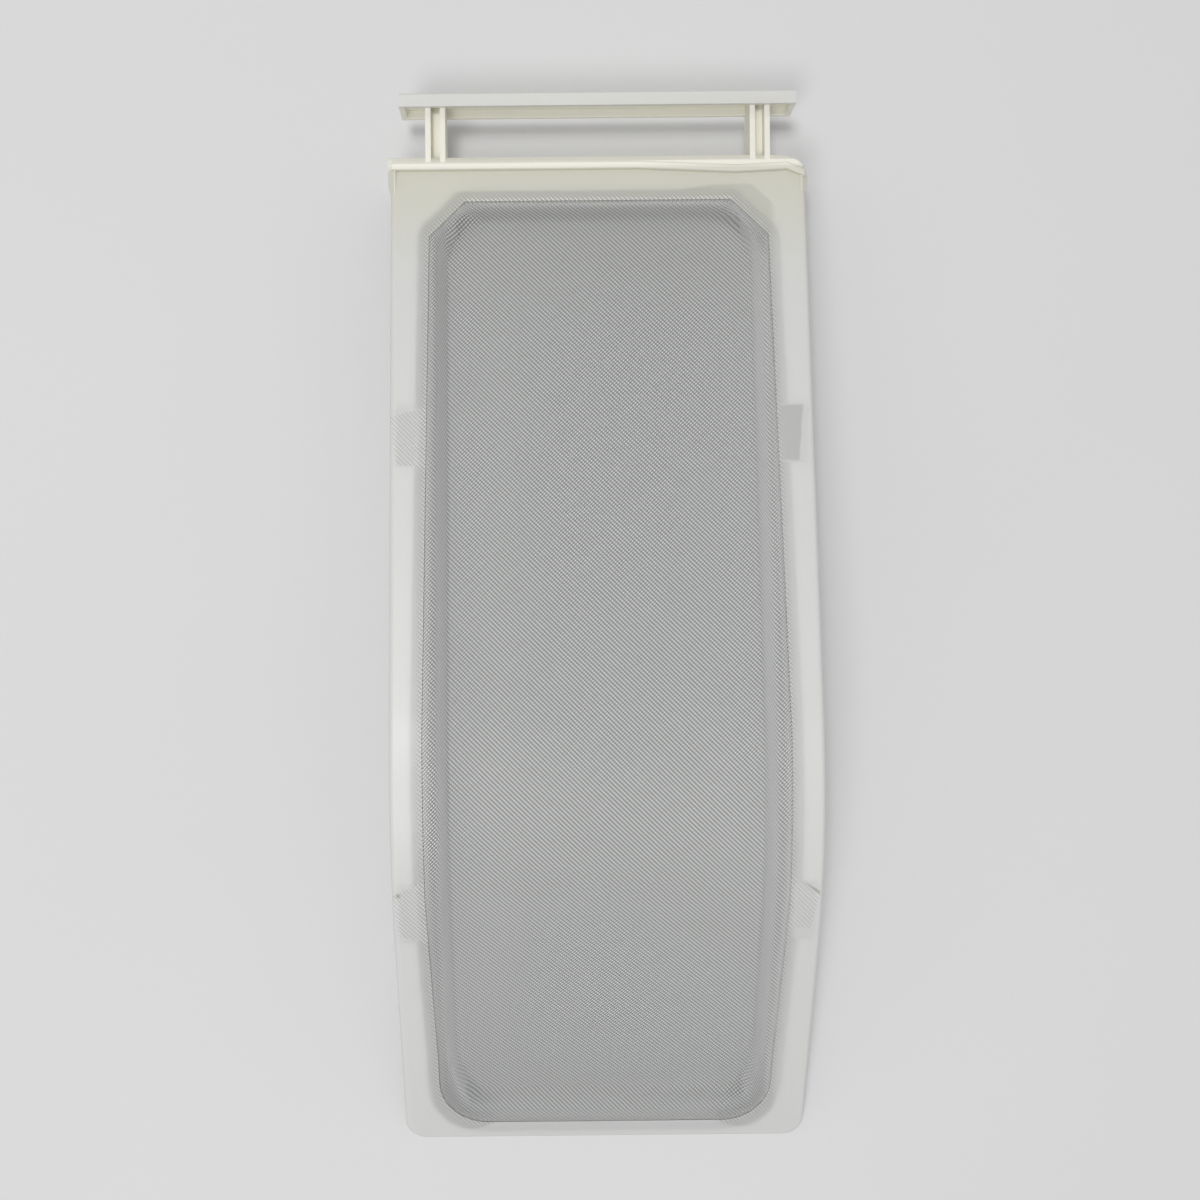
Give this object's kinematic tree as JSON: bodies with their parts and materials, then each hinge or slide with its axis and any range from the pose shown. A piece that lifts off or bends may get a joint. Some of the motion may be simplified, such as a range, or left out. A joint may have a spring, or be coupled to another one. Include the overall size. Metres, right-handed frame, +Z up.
{
  "type": "tumble dryer lint filter",
  "caption": "Bent moulded plastic frame round a dished woven wire screen, with an end plate that closes the dryer's filter slot and a bar grip to pull it out and clear the lint.",
  "frame": {"origin": "bottom centre of the filter as it lies, on the surface that it lies on", "axes": "+Y along the filter towards the grip, +X across it, +Z up, out of the side that collects the lint"},
  "size_m": [0.1386, 0.3526, 0.0606],
  "materials": {
    "frame_plastic": "natural milky polypropylene, satin",
    "screen_wire": "fine woven wire cloth, pressed"
  },
  "bodies": {
    "root": {"frame": "frame_plastic", "mesh_screen": "screen_wire"}
  },
  "joints": []
}
